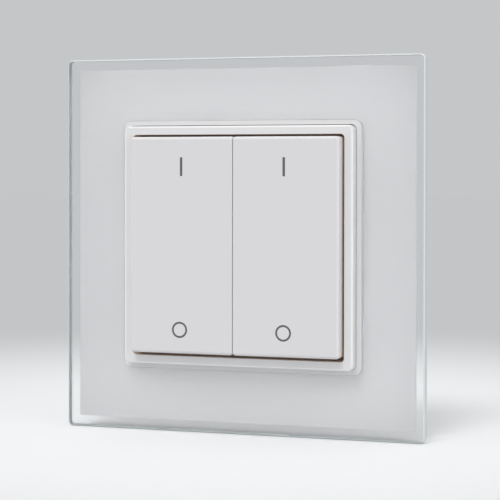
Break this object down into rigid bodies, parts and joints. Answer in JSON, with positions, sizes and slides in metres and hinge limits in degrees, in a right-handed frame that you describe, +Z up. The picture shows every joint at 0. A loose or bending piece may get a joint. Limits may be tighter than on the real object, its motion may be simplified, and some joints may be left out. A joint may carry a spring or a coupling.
{
  "type": "wall light switch",
  "caption": "Square wireless dimmer switch with paired rockers inside a raised collar, set in a white-backed glass frame over a screw-fixed wall plate.",
  "frame": {"origin": "centre of the wall plate's back face, on the wall", "axes": "+Z up, -Y out of the wall towards the person, +X to the right as seen from the front"},
  "size_m": [0.095, 0.0164, 0.095],
  "materials": {
    "clear_glass": "polished",
    "white_enamel": "smooth coat under glass",
    "bonding_tape": "matte",
    "white_frame_plastic": "fine satin",
    "white_rocker_plastic": "fine satin",
    "grey_mark": "matte",
    "dust_seal_foam": "matte foam",
    "white_housing_plastic": "satin",
    "plunger_plastic": "smooth acetal",
    "circuit_board": "solder mask",
    "chip_plastic": "moulded",
    "ceramic": "sintered",
    "tinned_steel": "tinned",
    "cell_steel": "nickel plated",
    "contact_bronze": "plated",
    "spring_steel": "drawn wire",
    "pin_steel": "ground",
    "screw_steel": "zinc plated"
  },
  "bodies": {
    "base": {"wall_plate": "white_frame_plastic", "frame_carrier": "white_frame_plastic", "collar_ring": "white_frame_plastic", "bonding_tape": "bonding_tape", "glass_enamel": "white_enamel", "glass_panel": "clear_glass", "dust_seal": "dust_seal_foam", "rear_housing": "white_housing_plastic", "battery_door": "white_housing_plastic", "coin_cell": "cell_steel", "battery_contact_positive": "contact_bronze", "battery_contact_negative": "contact_bronze", "circuit_board": "circuit_board", "radio_shield": "tinned_steel", "controller_chip": "chip_plastic", "crystal": "tinned_steel", "chip_antenna": "ceramic", "chip_passives": "ceramic", "front_cover": "white_housing_plastic", "housing_screws": "screw_steel", "module_screws": "screw_steel", "left_hinge_pin": "pin_steel", "right_hinge_pin": "pin_steel", "left_top_dome": "spring_steel", "left_top_spring": "spring_steel", "left_bottom_dome": "spring_steel", "left_bottom_spring": "spring_steel", "right_top_dome": "spring_steel", "right_top_spring": "spring_steel", "right_bottom_dome": "spring_steel", "right_bottom_spring": "spring_steel"},
    "left_rocker_body": {"left_rocker": "white_rocker_plastic", "left_rocker_marks": "grey_mark"},
    "right_rocker_body": {"right_rocker": "white_rocker_plastic", "right_rocker_marks": "grey_mark"},
    "left_top_plunger_body": {"left_top_plunger": "plunger_plastic"},
    "left_bottom_plunger_body": {"left_bottom_plunger": "plunger_plastic"},
    "right_top_plunger_body": {"right_top_plunger": "plunger_plastic"},
    "right_bottom_plunger_body": {"right_bottom_plunger": "plunger_plastic"}
  },
  "joints": [
    {"name": "left_rock", "type": "hinge", "parent": "base", "child": "left_rocker_body", "pos_m": [-0.01375, -0.0131, 0.00017], "axis": [-1, 0, 0], "range_deg": [-2, 2], "stiffness_Nm_per_rad": 0.6},
    {"name": "right_rock", "type": "hinge", "parent": "base", "child": "right_rocker_body", "pos_m": [0.01375, -0.0131, 0.00017], "axis": [-1, 0, 0], "range_deg": [-2, 2], "stiffness_Nm_per_rad": 0.6},
    {"name": "left_top_press", "type": "slide", "parent": "base", "child": "left_top_plunger_body", "axis": [0, 1, 0], "range_m": [-0.00067, 0.00067], "deforming": ["left_top_spring", "left_top_dome"]},
    {"name": "left_bottom_press", "type": "slide", "parent": "base", "child": "left_bottom_plunger_body", "axis": [0, 1, 0], "range_m": [-0.00067, 0.00067], "deforming": ["left_bottom_spring", "left_bottom_dome"]},
    {"name": "right_top_press", "type": "slide", "parent": "base", "child": "right_top_plunger_body", "axis": [0, 1, 0], "range_m": [-0.00067, 0.00067], "deforming": ["right_top_spring", "right_top_dome"]},
    {"name": "right_bottom_press", "type": "slide", "parent": "base", "child": "right_bottom_plunger_body", "axis": [0, 1, 0], "range_m": [-0.00067, 0.00067], "deforming": ["right_bottom_spring", "right_bottom_dome"]}
  ],
  "couplings": [
    {"joint": "left_top_press", "follows": "left_rock", "m_per_rad": 0.019},
    {"joint": "left_bottom_press", "follows": "left_rock", "m_per_rad": -0.019},
    {"joint": "right_top_press", "follows": "right_rock", "m_per_rad": 0.019},
    {"joint": "right_bottom_press", "follows": "right_rock", "m_per_rad": -0.019}
  ]
}
